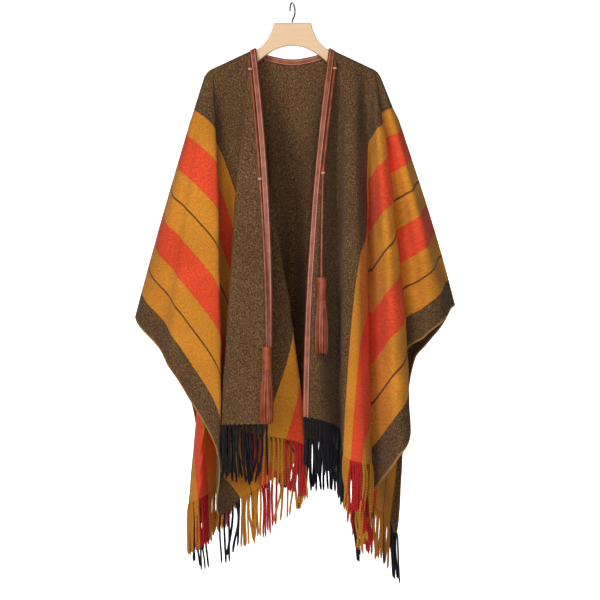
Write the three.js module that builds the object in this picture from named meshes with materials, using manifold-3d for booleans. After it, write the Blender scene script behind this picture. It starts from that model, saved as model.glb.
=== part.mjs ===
// Open-front blanket wrap with leather trim, two tassels and a fringe, hung on a wooden hanger.
// Millimetres, +Z up, +X to the viewer's right, -Y to the viewer. Origin: inside top of the hook.
import * as THREE from 'three';
import { mergeVertices } from 'three/addons/utils/BufferGeometryUtils.js';
import Module from 'manifold-3d';

// Driving sizes
const cloth = { halfWidth: 730, frontLength: 756, backLength: 798, wall: 2.5, gap: 0.3 };
const shoulder = { neckX: 78, neckZ: -95, kneeX: 180, kneeZ: -143, endX: 184, crestRadius: 11 };
const backNeck = { sagZ: -115, depth: 24, trimHalf: 68 };
const crestDrops = [0, 1.3, 4.8, 10.5];
const grid = { frontColumns: 22, backColumns: 40, rows: 12, rowPower: 1.2, fine: 10 };
const midShare = 0.4;
const trim = { width: 12, thickness: 1.2, lip: 1.5 };
const fringe = {
  length: 106, gap: 0.8, stripHeight: 4, strandWidth: 4.2, endWidth: 3, frontStrands: 40, backStrands: 80,
};
const wood = { top: -40, topHalf: 40, thickness: 12, bevel: 4, archZ: -88, armEnd: 176, armDrop: 22 };
const hook = { wire: 4, loopRadius: 16, turn: 72 };

// One row for each fold line of a half panel, from the opening edge or the centre back to the sleeve's fold.
// x is given at the shoulder, at midShare of the drop and at the end, and depth from the hanger's plane.
// endAcross is how far across the blanket the line ends, and bend how late the line crosses the stripes.
const columns = ['name', 'topX', 'midX', 'endX', 'midDepth', 'endDepth', 'endZ', 'endAcross', 'bend'];
const frontLeftFolds = table([
  ['opening edge', -78, -49.5, -46, 88, 112, -874, 10, 1],
  ['left-turning fold', -87, -114, -141, 78, 100, -878, 112, 1],
  ['pleat inside', -97, -92, -95, 48, 62, -894, 215, 1.4],
  ['right-turning fold', -107, -38, 27, 30, 38, -928, 385, 1.6],
  ['pleat back', -121, -100, -55, 6, 8, -1006, 530, 1.1],
  ['gap valley', -146, -140, -104, 4, 16, -1032, 660, 1],
  ['front corner', -163, -156, -154, 44, 70, -1062, 730, 1],
  ['front ridge', -168, -154, -152, 78, 104, -936, 730, 1],
  ['sleeve ridge', -172, -196, -219, 76, 88, -812, 730, 1],
  ['sleeve valley', -177, -235, -280, 44, 50, -722, 730, 1],
  ['sleeve top fold', -184, -246, -330, 0, 0, -658, 730, 1],
]);
const frontRightFolds = table([
  ['opening edge', 78, 44.6, 22.8, 90, 116, -858, 10, 1],
  ['edge panel', 88, 62, 62, 92, 112, -868, 80, 1],
  ['first valley', 102, 94, 97, 40, 50, -890, 165, 1],
  ['second ridge start', 115, 107, 106, 80, 92, -940, 265, 1],
  ['second ridge', 132, 134, 144, 84, 92, -958, 385, 1],
  ['second valley', 146, 153, 163, 26, 34, -968, 440, 1],
  ['front corner', 156, 158, 132, 8, 6, -1064, 730, 1],
  ['third ridge start', 162, 168, 172, 28, 18, -1018, 730, 1],
  ['third ridge', 168, 188, 214, 82, 96, -950, 730, 1],
  ['third ridge turn', 172, 208, 244, 62, 74, -890, 730, 1],
  ['sleeve gap', 175, 204, 230, 16, 22, -745, 730, 1],
  ['sleeve ridge', 178, 240, 284, 46, 52, -690, 730, 1],
  ['sleeve top fold', 184, 256, 341, 0, 0, -634, 730, 1],
]);
const backLeftFolds = table([
  ['centre back', 0, 0, 0, 50, 84, -915, 0, 1],
  ['back valley', -50, -36, -44, 20, 22, -918, 70, 1],
  ['neck turn', -73, -52, -62, 52, 70, -922, 118, 1],
  ['neck point', -80, -62, -78, 70, 96, -926, 146, 1],
  ['back ridge', -100, -80, -96, 90, 124, -932, 190, 1],
  ['outer valley', -132, -112, -128, 16, 16, -972, 310, 1],
  ['outer ridge', -150, -148, -166, 88, 116, -1026, 440, 1],
  ['inner turn', -162, -172, -198, 26, 22, -1044, 550, 1],
  ['back side fold', -168, -180, -224, 72, 88, -1066, 650, 1],
  ['back corner', -172, -174, -186, 104, 124, -1094, 730, 1],
  ['sleeve back ridge', -176, -204, -222, 96, 118, -826, 730, 1],
  ['sleeve back valley', -180, -236, -276, 44, 54, -742, 730, 1],
  ['sleeve top fold', -184, -246, -330, 0, 0, -658, 730, 1],
]);
const backRightFolds = table([
  ['centre back', 0, 0, 0, 50, 84, -915, 0, 1],
  ['back valley', 50, 34, 40, 20, 22, -918, 70, 1],
  ['neck turn', 73, 50, 58, 52, 70, -923, 118, 1],
  ['neck point', 80, 60, 74, 70, 96, -927, 146, 1],
  ['back ridge', 100, 76, 90, 92, 126, -934, 190, 1],
  ['outer valley', 132, 108, 120, 18, 16, -985, 310, 1],
  ['outer ridge', 150, 140, 152, 90, 120, -1048, 450, 1],
  ['inner turn', 158, 158, 176, 28, 24, -1062, 560, 1],
  ['back side fold', 166, 178, 204, 72, 90, -1088, 650, 1],
  ['back corner', 172, 196, 228, 88, 110, -1112, 730, 1],
  ['sleeve back ridge', 177, 222, 250, 94, 112, -800, 730, 1],
  ['sleeve back valley', 180, 246, 290, 44, 52, -715, 730, 1],
  ['sleeve top fold', 184, 256, 341, 0, 0, -634, 730, 1],
]);

// Leather laces: where along the opening edge they are tacked and end, as shares of its length,
// how far in from the edge they lie, and how far they stand off the cloth at the tassel.
const lace = { diameter: 5, topShare: 0.03, inset: 14.9, standOff: 24, sections: 14 };
const leftLace = { tackShare: 0.357, endShare: 0.795, endInset: 9 };
const rightLace = { tackShare: 0.343, endShare: 0.618, endInset: 27 };
const tassel = {
  headRadius: 9.6, headLength: 48, skirtLength: 109, skirtRadius: 13.5, strands: 13, strandSide: 3.4,
};

const looks = {
  cloth: new THREE.MeshStandardMaterial({ color: '#6b4c33', roughness: 0.95, metalness: 0 }),
  yarn: new THREE.MeshStandardMaterial({ color: '#4a2c22', roughness: 0.95, metalness: 0 }),
  leather: new THREE.MeshStandardMaterial({ color: '#b4583a', roughness: 0.5, metalness: 0 }),
  wood: new THREE.MeshStandardMaterial({ color: '#e9c593', roughness: 0.5, metalness: 0 }),
  steel: new THREE.MeshStandardMaterial({ color: '#c9cacc', roughness: 0.25, metalness: 1 }),
};

function table(rows) {
  return rows.map((row) => Object.fromEntries(columns.map((column, k) => [column, row[k]])));
}

// The height of the cloth's crest over the hanger, and of the cut back neck between the shoulders.
function crestZ(x) {
  const a = Math.abs(x);
  const slope = (shoulder.kneeZ - shoulder.neckZ) / (shoulder.kneeX - shoulder.neckX);
  if (a < shoulder.neckX) {
    const share = a / shoulder.neckX;
    return backNeck.sagZ + (shoulder.neckZ - backNeck.sagZ) * share * share;
  }
  const beyond = Math.max(0, a - shoulder.kneeX + 10);
  return shoulder.neckZ + slope * (a - shoulder.neckX) - beyond * beyond * 0.04;
}

function throughThree(top, mid, end, t) {
  const atTop = ((t - midShare) * (t - 1)) / midShare;
  const atMid = (t * (1 - t)) / (midShare * (1 - midShare));
  const atEnd = (t * (t - midShare)) / (1 - midShare);
  return top * atTop + mid * atMid + end * atEnd;
}

// Each level lies a set drop under the crest, then a share of what is left of the fold line.
const levels = crestDrops.map((drop) => ({ drop, share: 0 }));
for (let j = 1; j <= grid.rows; j += 1) {
  levels.push({ drop: crestDrops[crestDrops.length - 1], share: (j / grid.rows) ** grid.rowPower });
}

function shareAt(fold, level) {
  const whole = crestZ(fold.topX) - fold.endZ;
  return (level.drop + (whole - level.drop) * level.share) / whole;
}

// A point of a fold line at one level: x, y, z and the distance from the blanket's centre.
function foldPoint(fold, side, level) {
  const topZ = crestZ(fold.topX);
  const t = shareAt(fold, level);
  const drop = (topZ - fold.endZ) * t;
  const isTopFold = fold.name === 'sleeve top fold';
  const r = isTopFold ? 0 : shoulder.crestRadius;
  const rounded = drop < r ? Math.sqrt(r * r - (r - drop) ** 2) : r;
  const neckShare = Math.max(0, 1 - (fold.topX / shoulder.neckX) ** 8);
  const atNeck = side > 0 ? backNeck.depth * neckShare : 0;
  const depth = throughThree(0, fold.midDepth, fold.endDepth, t) + Math.max(rounded, atNeck);
  const topAcross = Math.min(Math.hypot(fold.topX, 0), shoulder.endX) * (187 / shoulder.endX);
  const across = topAcross + (fold.endAcross - topAcross) * t ** fold.bend;
  const x = throughThree(fold.topX, fold.midX, fold.endX, t);
  return [x, side * (depth + cloth.gap / 2), topZ - drop, across];
}

function splineAt(points, s) {
  const k = Math.min(Math.floor(s), points.length - 4);
  const f = s - k;
  const [a, b, c, d] = points.slice(k, k + 4);
  return b.map((_, n) => 0.5 * (2 * b[n] + (c[n] - a[n]) * f
    + (2 * a[n] - 5 * b[n] + 4 * c[n] - d[n]) * f * f
    + (3 * b[n] - a[n] - 3 * c[n] + d[n]) * f ** 3));
}

// Mirrors the last fold line through the hanger's plane, so that the cloth turns square over it.
function withGhosts(line, startsAtFold, endsAtFold) {
  const mirrored = (p) => [p[0], -p[1], p[2], p[3]];
  const extended = (a, b) => a.map((value, n) => 2 * value - b[n]);
  const first = startsAtFold ? mirrored(line[1]) : extended(line[0], line[1]);
  const end = line.length - 1;
  const last = endsAtFold ? mirrored(line[end - 1]) : extended(line[end], line[end - 1]);
  return [first, ...line, last];
}

// The cloth across one panel at one level, as evenly spaced points from its first edge.
function acrossCloth(folds, side, level, startsAtFold, columnsWanted, hasTrim) {
  const points = withGhosts(folds.map((fold) => foldPoint(fold, side, level)), startsAtFold, true);
  const steps = (folds.length - 1) * grid.fine;
  const fine = [];
  for (let k = 0; k <= steps; k += 1) fine.push(splineAt(points, k / grid.fine));
  const reach = [0];
  for (let k = 1; k <= steps; k += 1) {
    const [a, b] = [fine[k - 1], fine[k]];
    reach.push(reach[k - 1] + Math.hypot(b[0] - a[0], b[1] - a[1], b[2] - a[2]));
  }
  const total = reach[steps];
  const wanted = hasTrim ? [0, trim.width / 2, trim.width] : [0];
  const start = wanted[wanted.length - 1];
  for (let k = 1; k <= columnsWanted; k += 1) wanted.push(start + ((total - start) * k) / columnsWanted);
  let at = 0;
  return wanted.map((distance) => {
    while (at < steps - 1 && reach[at + 1] < distance) at += 1;
    const share = Math.min(1, (distance - reach[at]) / Math.max(1e-6, reach[at + 1] - reach[at]));
    const point = fine[at].map((value, n) => value + (fine[at + 1][n] - value) * share);
    point[1] = side * Math.max(cloth.gap / 2, side * point[1]);
    return point;
  });
}

function panelGrid(folds, side, startsAtFold, columnsWanted, hasTrim) {
  return levels.map((level) => acrossCloth(folds, side, level, startsAtFold, columnsWanted, hasTrim));
}

function vector(p) {
  return new THREE.Vector3(p[0], p[1], p[2]);
}

// Unit normals of a grid, pointing out of the garment when side is -1 for a front and 1 for the back.
function gridNormals(points, flip) {
  const normals = points.map((row, j) => row.map((_, i) => {
    const across = vector(row[Math.min(i + 1, row.length - 1)]).sub(vector(row[Math.max(i - 1, 0)]));
    const down = vector(points[Math.min(j + 1, points.length - 1)][i]);
    down.sub(vector(points[Math.max(j - 1, 0)][i]));
    across.cross(down).multiplyScalar(flip);
    across.normalize().y *= Math.min(1, Math.max(0, Math.abs(row[i][1]) - cloth.gap / 2) / cloth.wall);
    return across.normalize();
  }));
  for (const [end, next] of [[0, 1], [points[0].length - 1, points[0].length - 2]]) {
    if (Math.abs(points[1][end][1]) < cloth.gap) {
      normals[0][end].copy(normals[0][next]).setY(0).normalize().add(normals[1][end]).normalize();
    }
  }
  return normals;
}

function closedGeometry(vertices, faces) {
  const geometry = new THREE.BufferGeometry();
  const numbers = vertices.flatMap((v) => [v.x, v.y, v.z]);
  geometry.setAttribute('position', new THREE.Float32BufferAttribute(numbers, 3));
  geometry.setIndex(faces.flat());
  return geometry;
}

// A closed wall of even thickness on a grid of points.
function wallGeometry(points, normals, flip) {
  const half = cloth.wall / 2;
  const [rows, wide] = [points.length, points[0].length];
  const vertices = [];
  for (const offset of [half, -half]) {
    points.forEach((row, j) => row.forEach((p, i) => {
      vertices.push(vector(p).addScaledVector(normals[j][i], offset));
    }));
  }
  const index = (layer, j, i) => layer * rows * wide + j * wide + i;
  const faces = [];
  const quad = (a, b, c, d) => {
    const turned = flip > 0 ? [[a, b, c], [a, c, d]] : [[a, c, b], [a, d, c]];
    faces.push(...turned);
  };
  for (let j = 0; j < rows - 1; j += 1) {
    for (let i = 0; i < wide - 1; i += 1) {
      quad(index(0, j, i), index(0, j, i + 1), index(0, j + 1, i + 1), index(0, j + 1, i));
      quad(index(1, j, i), index(1, j + 1, i), index(1, j + 1, i + 1), index(1, j, i + 1));
    }
  }
  for (let i = 0; i < wide - 1; i += 1) {
    quad(index(1, 0, i), index(1, 0, i + 1), index(0, 0, i + 1), index(0, 0, i));
    quad(index(0, rows - 1, i), index(0, rows - 1, i + 1), index(1, rows - 1, i + 1), index(1, rows - 1, i));
  }
  for (let j = 0; j < rows - 1; j += 1) {
    quad(index(1, j, 0), index(0, j, 0), index(0, j + 1, 0), index(1, j + 1, 0));
    quad(index(0, j, wide - 1), index(1, j, wide - 1), index(1, j + 1, wide - 1), index(0, j + 1, wide - 1));
  }
  return closedGeometry(vertices, faces);
}

// A closed sweep through rings of points that all turn the same way; crossed sides split the other way.
function ringSweep(rings, flip, crossed = []) {
  const size = rings[0].length;
  const vertices = rings.flat();
  const faces = [];
  const push = (a, b, c) => faces.push(flip ? [a, c, b] : [a, b, c]);
  for (let k = 0; k < rings.length - 1; k += 1) {
    for (let n = 0; n < size; n += 1) {
      const next = (n + 1) % size;
      const [a, b, c, d] = [k * size + n, k * size + next, (k + 1) * size + next, (k + 1) * size + n];
      const [first, second] = crossed.includes(n) ? [[a, b, d], [b, c, d]] : [[a, b, c], [a, c, d]];
      push(...first);
      push(...second);
    }
  }
  for (let n = 0; n < size / 2 - 1; n += 1) {
    const [a, b, c, d] = [n, n + 1, size - 2 - n, size - 1 - n];
    const base = (rings.length - 1) * size;
    push(a, c, b);
    push(a, d, c);
    push(base + a, base + b, base + c);
    push(base + a, base + c, base + d);
  }
  return closedGeometry(vertices, faces);
}

// Leather folded over a cloth edge: lines holds the cloth's points and normals from the edge inwards.
function bindingGeometry(lines, flip) {
  const inner = cloth.wall / 2 + cloth.gap;
  const outer = inner + trim.thickness;
  const inmost = lines[0].length - 1;
  const inwards = Array.from({ length: inmost }, (_, k) => k + 1);
  const outwards = [...inwards].reverse();
  const rings = lines.map((line) => {
    const away = vector(line[0].point).sub(vector(line[1].point)).normalize();
    const at = (k, offset, past) => vector(line[k].point)
      .addScaledVector(line[k].normal, offset).addScaledVector(away, past);
    const outside = [...outwards.map((k) => at(k, outer, 0)), at(0, outer, trim.lip)];
    const inside = [at(0, -outer, trim.lip), ...inwards.map((k) => at(k, -outer, 0))];
    const channel = [...outwards.map((k) => at(k, -inner, 0)), at(0, -inner, cloth.gap)];
    const back = [at(0, inner, cloth.gap), ...inwards.map((k) => at(k, inner, 0))];
    return [...outside, ...inside, ...channel, ...back];
  });
  const channelStart = 2 * (inmost + 1);
  const crossed = outwards.map((_, n) => channelStart + n);
  return ringSweep(rings, flip, crossed);
}

// Yarn hanging from a strip just under the hem: every second stretch of the strip runs down into a strand.
function fringeGeometry(points, normals, strands, flip, seed) {
  const last = points.length - 1;
  const isHem = points[last].map((p) => p[3] < cloth.halfWidth - 1);
  const [from, to] = [isHem.indexOf(true), isHem.lastIndexOf(true) + 1];
  const hem = points[last].slice(from, to).map(vector);
  const across = normals[last].slice(from, to);
  const down = hem.map((p, i) => {
    const along = hem[Math.min(i + 1, hem.length - 1)].clone().sub(hem[Math.max(i - 1, 0)]);
    const below = new THREE.Vector3().crossVectors(along, across[i]).normalize();
    const fall = p.clone().sub(vector(points[last - 1][i + from]));
    return below.dot(fall) < 0 ? below.negate() : below;
  });
  const reach = [0];
  for (let i = 1; i < hem.length; i += 1) reach.push(reach[i - 1] + hem[i].distanceTo(hem[i - 1]));
  const level = (i) => Math.hypot(hem[i].x - hem[i - 1].x, hem[i].y - hem[i - 1].y);
  const pitch = hem.slice(1).reduce((sum, _, i) => sum + level(i + 1), 0) / strands;
  const root = Math.min(fringe.strandWidth, pitch * 0.62);
  const sample = (distance) => {
    let i = 0;
    while (i < hem.length - 2 && reach[i + 1] < distance) i += 1;
    const share = (distance - reach[i]) / (reach[i + 1] - reach[i]);
    const blended = (list) => list[i].clone().lerp(list[i + 1], share);
    return { point: blended(hem), normal: blended(across), down: blended(down).normalize() };
  };
  const [vertices, faces] = [[], []];
  const add = (v) => vertices.push(v) - 1;
  const quad = (a, b, c, d) => faces.push(...(flip > 0 ? [[a, b, c], [a, c, d]] : [[a, c, b], [a, d, c]]));
  const station = (distance) => {
    const s = sample(distance);
    const corner = (offset, drop) => add(s.point.clone()
      .addScaledVector(s.normal, offset).addScaledVector(s.down, drop));
    const [half, top, bottom] = [cloth.wall / 2, fringe.gap, fringe.gap + fringe.stripHeight];
    return [corner(half, top), corner(-half, top), corner(-half, bottom), corner(half, bottom)];
  };
  const stations = [{ corners: station(0), hangs: false }];
  let owed = 0;
  for (let i = 1; i < hem.length; i += 1) {
    const stretch = reach[i] - reach[i - 1];
    owed += level(i) / pitch;
    const count = Math.round(owed);
    owed -= count;
    for (let k = 0; k < count; k += 1) {
      const middle = reach[i - 1] + ((k + 0.5) * stretch) / count;
      stations.push({ corners: station(middle - root / 2), hangs: true });
      stations.push({ corners: station(middle + root / 2), hangs: false });
    }
    stations.push({ corners: station(reach[i]), hangs: false });
  }
  stations.slice(0, -1).forEach(({ corners: a, hangs }, k) => {
    const b = stations[k + 1].corners;
    quad(a[0], a[1], b[1], b[0]);
    quad(a[1], a[2], b[2], b[1]);
    quad(a[3], a[0], b[0], b[3]);
    if (!hangs) {
      quad(a[2], a[3], b[3], b[2]);
      return;
    }
    const roots = [a[3], a[2], b[2], b[3]];
    const corners = roots.map((n) => vertices[n]);
    const centre = corners.reduce((sum, v) => sum.add(v), new THREE.Vector3()).multiplyScalar(0.25);
    const wave = Math.sin((k + 1) * 12.9898 + seed) * 43758.5453;
    const sway = (wave - Math.floor(wave) - 0.5) * Math.min(3, pitch * 0.3);
    const fall = new THREE.Vector3(sway, 0, sway - fringe.length + fringe.stripHeight);
    const taper = fringe.endWidth / fringe.strandWidth;
    const tip = corners.map((v) => add(centre.clone().lerp(v, taper).add(fall)));
    roots.forEach((n, m) => quad(n, tip[m], tip[(m + 1) % 4], roots[(m + 1) % 4]));
    quad(tip[3], tip[2], tip[1], tip[0]);
  });
  const [first, end] = [stations[0].corners, stations[stations.length - 1].corners];
  quad(first[0], first[3], first[2], first[1]);
  quad(end[0], end[1], end[2], end[3]);
  return closedGeometry(vertices, faces);
}

// A tube along a curve, closed at both ends.
function tubeGeometry(curve, radius, sides, steps) {
  const section = new THREE.Shape();
  for (let k = 0; k < sides; k += 1) {
    const angle = (k / sides) * Math.PI * 2;
    const move = k === 0 ? 'moveTo' : 'lineTo';
    section[move](radius * Math.cos(angle), radius * Math.sin(angle));
  }
  return new THREE.ExtrudeGeometry(section, { steps, extrudePath: curve });
}

// The lace lies on the trim down to its tack, then hangs free and stands off for the tassel.
function laceRoute(points, normals, spec, edgeFold) {
  const route = [];
  const shares = levels.map((level) => shareAt(edgeFold, level));
  const onCloth = cloth.wall / 2 + cloth.gap * 2 + lace.diameter / 2;
  for (let k = 0; k <= lace.sections; k += 1) {
    const t = lace.topShare + ((spec.endShare - lace.topShare) * k) / lace.sections;
    const free = Math.max(0, (t - spec.tackShare) / (spec.endShare - spec.tackShare));
    const inset = lace.inset + (spec.endInset - lace.inset) * free;
    const j = Math.min(shares.findIndex((share) => share >= t), shares.length - 1);
    const f = (t - shares[j - 1]) / (shares[j] - shares[j - 1]);
    const along = (row) => {
      let [i, left] = [0, inset];
      while (left > vector(points[row][i]).distanceTo(vector(points[row][i + 1]))) {
        left -= vector(points[row][i]).distanceTo(vector(points[row][i + 1]));
        i += 1;
      }
      const share = left / vector(points[row][i]).distanceTo(vector(points[row][i + 1]));
      return {
        point: vector(points[row][i]).lerp(vector(points[row][i + 1]), share),
        normal: normals[row][i].clone().lerp(normals[row][i + 1], share),
      };
    };
    const [above, below] = [along(j - 1), along(j)];
    const point = above.point.lerp(below.point, f);
    const normal = above.normal.lerp(below.normal, f).normalize();
    point.addScaledVector(normal, onCloth);
    point.y -= (lace.standOff - onCloth) * free * free;
    route.push(point);
  }
  return new THREE.CatmullRomCurve3(route);
}

const wasm = await Module();
wasm.setup();

function toSolid(geometry) {
  const bare = geometry.clone();
  bare.deleteAttribute('normal');
  bare.deleteAttribute('uv');
  const merged = mergeVertices(bare, 1e-4);
  return new wasm.Manifold(new wasm.Mesh({
    numProp: 3,
    vertProperties: new Float32Array(merged.attributes.position.array),
    triVerts: new Uint32Array(merged.index.array),
  }));
}

function fromSolid(solid) {
  const mesh = solid.getMesh();
  const geometry = new THREE.BufferGeometry();
  geometry.setAttribute('position', new THREE.BufferAttribute(new Float32Array(mesh.vertProperties), 3));
  geometry.setIndex(Array.from(mesh.triVerts));
  return geometry;
}

// A tassel below its lace: a leather-wrapped head and a skirt of cut strips.
function tasselGeometry(top) {
  const { headRadius, headLength, skirtLength, skirtRadius, strands, strandSide } = tassel;
  const outline = [[0, 0], [headRadius - 1, 0], [headRadius, -1], [headRadius, -headLength + 2],
    [headRadius - 1, -headLength], [0, -headLength]].map(([r, z]) => new THREE.Vector2(Math.max(r, 1e-6), z));
  outline[0].x = 0;
  outline[outline.length - 1].x = 0;
  const head = new THREE.LatheGeometry(outline.reverse(), 14).rotateX(Math.PI / 2);
  let solid = toSolid(head);
  for (let k = 0; k < strands; k += 1) {
    const angle = (k / strands) * Math.PI * 2;
    const [rootRadius, swell] = [headRadius - strandSide * 0.62, skirtRadius - strandSide * 0.5];
    const rings = [[rootRadius, -headLength + 2], [swell, -headLength - skirtLength * 0.62],
      [swell - 0.8, -headLength - skirtLength]].map(([radius, z]) => {
      const centre = new THREE.Vector3(radius * Math.cos(angle), radius * Math.sin(angle), z);
      const tangent = new THREE.Vector3(-Math.sin(angle), Math.cos(angle), 0);
      const out = new THREE.Vector3(Math.cos(angle), Math.sin(angle), 0);
      const half = strandSide * (z === -headLength + 2 ? 0.42 : 0.5);
      return [[-1, -1], [1, -1], [1, 1], [-1, 1]].map(([a, b]) => centre.clone()
        .addScaledVector(tangent, a * half).addScaledVector(out, (b * strandSide) / 2.4));
    });
    solid = solid.add(toSolid(ringSweep(rings, false)));
  }
  return fromSolid(solid).translate(top.x, top.y, top.z);
}

// The hanger's outline: a flat-topped block that flares into two sloping arms over an arch.
function hangerGeometry() {
  const under = (x) => crestZ(x) - cloth.wall / 2 - 1.5;
  const bevel = wood.bevel;
  const neckX = shoulder.neckX;
  const shape = new THREE.Shape();
  shape.moveTo(0, wood.top - bevel);
  shape.lineTo(wood.topHalf - bevel, wood.top - bevel);
  shape.quadraticCurveTo(wood.topHalf + 6, wood.top - 36, neckX - 9, under(neckX) + 4 - bevel);
  shape.lineTo(wood.armEnd - 8, under(wood.armEnd - 8) - bevel);
  shape.quadraticCurveTo(wood.armEnd - bevel, under(wood.armEnd) - bevel, wood.armEnd - bevel,
    under(wood.armEnd) - wood.armDrop * 0.5);
  shape.quadraticCurveTo(wood.armEnd - bevel, under(wood.armEnd) - wood.armDrop + bevel, wood.armEnd - 14,
    under(wood.armEnd - 14) - wood.armDrop + bevel);
  shape.lineTo(neckX, under(neckX) - wood.armDrop * 1.35 + bevel);
  shape.quadraticCurveTo(neckX * 0.48, wood.archZ + bevel, 0, wood.archZ + bevel);
  const right = shape.getPoints(5);
  const left = right.slice(1, -1).reverse().map((p) => new THREE.Vector2(-p.x, p.y));
  const outline = new THREE.Shape([...right, ...left]);
  const depth = wood.thickness - 2 * bevel;
  const geometry = new THREE.ExtrudeGeometry(outline, {
    depth, bevelEnabled: true, bevelThickness: bevel, bevelSize: bevel, bevelSegments: 2,
  });
  return geometry.translate(0, 0, -depth / 2).rotateX(Math.PI / 2);
}

function hookCurve() {
  const { loopRadius, wire } = hook;
  const centreZ = -(loopRadius - wire / 2);
  const route = [[0, wood.top + cloth.gap], [0, wood.top + 5]];
  for (let degrees = -62; degrees <= 200; degrees += 20) {
    const angle = (degrees * Math.PI) / 180;
    route.push([loopRadius * Math.cos(angle), centreZ + loopRadius * Math.sin(angle)]);
  }
  const turn = (hook.turn * Math.PI) / 180;
  const points = route.map(([a, z]) => new THREE.Vector3(a * Math.cos(turn), a * Math.sin(turn), z));
  return new THREE.CatmullRomCurve3(points);
}

const garment = new THREE.Group();

function addPiece(name, geometry, look) {
  const piece = new THREE.Mesh(geometry, looks[look]);
  piece.name = name;
  garment.add(piece);
}

const fronts = { left: frontLeftFolds, right: frontRightFolds };
for (const [name, folds] of Object.entries(fronts)) {
  const flip = name === 'left' ? -1 : 1;
  const points = panelGrid(folds, -1, false, grid.frontColumns, true);
  const normals = gridNormals(points, -flip);
  addPiece(`wrap_front_${name}`, wallGeometry(points, normals, -flip), 'cloth');
  addPiece(`fringe_front_${name}`, fringeGeometry(points, normals, fringe.frontStrands, -flip, flip), 'yarn');
  const edge = points.slice(3).map((row, j) => row.slice(0, 3)
    .map((point, i) => ({ point, normal: normals[j + 3][i] })));
  addPiece(`trim_front_${name}`, bindingGeometry(edge, flip < 0), 'leather');
  const spec = name === 'left' ? leftLace : rightLace;
  const curve = laceRoute(points, normals, spec, folds[0]);
  addPiece(`lace_${name}`, tubeGeometry(curve, lace.diameter / 2, 6, lace.sections + 2), 'leather');
  const end = curve.getPoint(1);
  end.z -= cloth.gap * 4;
  addPiece(`tassel_${name}`, tasselGeometry(end), 'leather');
}

// The back runs from one sleeve's top fold to the other, so its fold lines are joined at the centre.
const backFolds = [...backRightFolds.slice(1).reverse(), ...backLeftFolds];
const backPoints = panelGrid(backFolds, 1, true, grid.backColumns, false);
const backNormals = gridNormals(backPoints, -1);
addPiece('wrap_back', wallGeometry(backPoints, backNormals, -1), 'cloth');
addPiece('fringe_back', fringeGeometry(backPoints, backNormals, fringe.backStrands, -1, 3), 'yarn');

// The neck trim follows the top edge of the back between the shoulders.
const neckStations = backPoints[0].map((point, i) => i)
  .filter((i) => Math.abs(backPoints[0][i][0]) < backNeck.trimHalf);
const neckLines = neckStations.map((i) => crestDrops.map((_, j) => (
  { point: backPoints[j][i], normal: backNormals[j][i] })));
addPiece('trim_neck', bindingGeometry(neckLines, true), 'leather');

addPiece('hanger_wood', hangerGeometry(), 'wood');
addPiece('hanger_hook', tubeGeometry(hookCurve(), hook.wire / 2, 8, 26), 'steel');

export default garment;
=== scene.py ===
import math

import bpy
import numpy as np
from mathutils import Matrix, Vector


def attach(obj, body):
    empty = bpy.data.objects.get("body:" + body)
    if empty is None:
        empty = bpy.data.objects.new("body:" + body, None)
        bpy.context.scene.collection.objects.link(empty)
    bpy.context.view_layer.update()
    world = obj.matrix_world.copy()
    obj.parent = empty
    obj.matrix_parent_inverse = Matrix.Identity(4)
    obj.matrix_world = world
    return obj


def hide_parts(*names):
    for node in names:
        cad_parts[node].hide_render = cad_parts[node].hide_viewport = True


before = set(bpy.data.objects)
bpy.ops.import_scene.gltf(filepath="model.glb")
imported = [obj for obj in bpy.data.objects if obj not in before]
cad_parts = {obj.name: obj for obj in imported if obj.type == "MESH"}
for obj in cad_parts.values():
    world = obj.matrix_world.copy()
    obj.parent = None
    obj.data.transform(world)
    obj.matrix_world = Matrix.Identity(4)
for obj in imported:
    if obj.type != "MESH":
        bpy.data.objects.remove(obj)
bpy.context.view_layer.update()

scene = bpy.context.scene
mm = 0.001
print("frame loaded")

# Camera level with the middle of the wrap, far enough away to flatten the perspective.
camera = {"distance": 4.0, "x": 0.0158, "z": -0.6216, "width": 1.26, "sensor": 36.0}
lensData = bpy.data.cameras.new("photoCamera")
lensData.sensor_width = camera["sensor"]
lensData.lens = camera["sensor"] * camera["distance"] / camera["width"]
lensData.clip_end = 60
cameraObject = bpy.data.objects.new("photoCamera", lensData)
cameraObject.location = (camera["x"], -camera["distance"], camera["z"])
cameraObject.rotation_euler = (math.radians(90), 0, 0)
scene.collection.objects.link(cameraObject)
scene.camera = cameraObject

# How the blanket hangs, in millimetres, as in the part's own source.
cloth = {"halfWidth": 730, "wall": 2.4, "solidWall": 2.5, "gap": 0.3,
         "frontColumns": 150, "backColumns": 250, "rows": 150, "rowPower": 1.05, "fine": 24}
shoulder = {"neckX": 78, "neckZ": -95, "kneeX": 180, "kneeZ": -143, "endX": 184, "endAcross": 187,
            "bendBefore": 10, "bendRate": 0.04, "crestRadius": 11, "midShare": 0.4}
backNeck = {"sagZ": -115, "depth": 24, "trimHalf": 76}

# name, x at the shoulder, x at midShare, x at the end, depth at midShare, depth at the end, z at the end,
# distance from the blanket's centre at the end, how late the line crosses the stripes
frontLeftFolds = [
    ("opening edge", -78, -49.5, -46, 88, 112, -874, 10, 1),
    ("left-turning fold", -87, -114, -141, 78, 100, -878, 112, 1),
    ("pleat inside", -97, -92, -95, 48, 62, -894, 215, 1.4),
    ("right-turning fold", -107, -38, 27, 30, 38, -928, 385, 1.6),
    ("pleat back", -121, -100, -55, 6, 8, -1006, 530, 1.1),
    ("gap valley", -146, -140, -104, 4, 16, -1032, 660, 1),
    ("front corner", -163, -156, -154, 44, 70, -1062, 730, 1),
    ("front ridge", -168, -154, -152, 78, 104, -936, 730, 1),
    ("sleeve ridge", -172, -196, -219, 76, 88, -812, 730, 1),
    ("sleeve valley", -177, -235, -280, 44, 50, -722, 730, 1),
    ("sleeve top fold", -184, -246, -330, 0, 0, -658, 730, 1),
]
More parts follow.
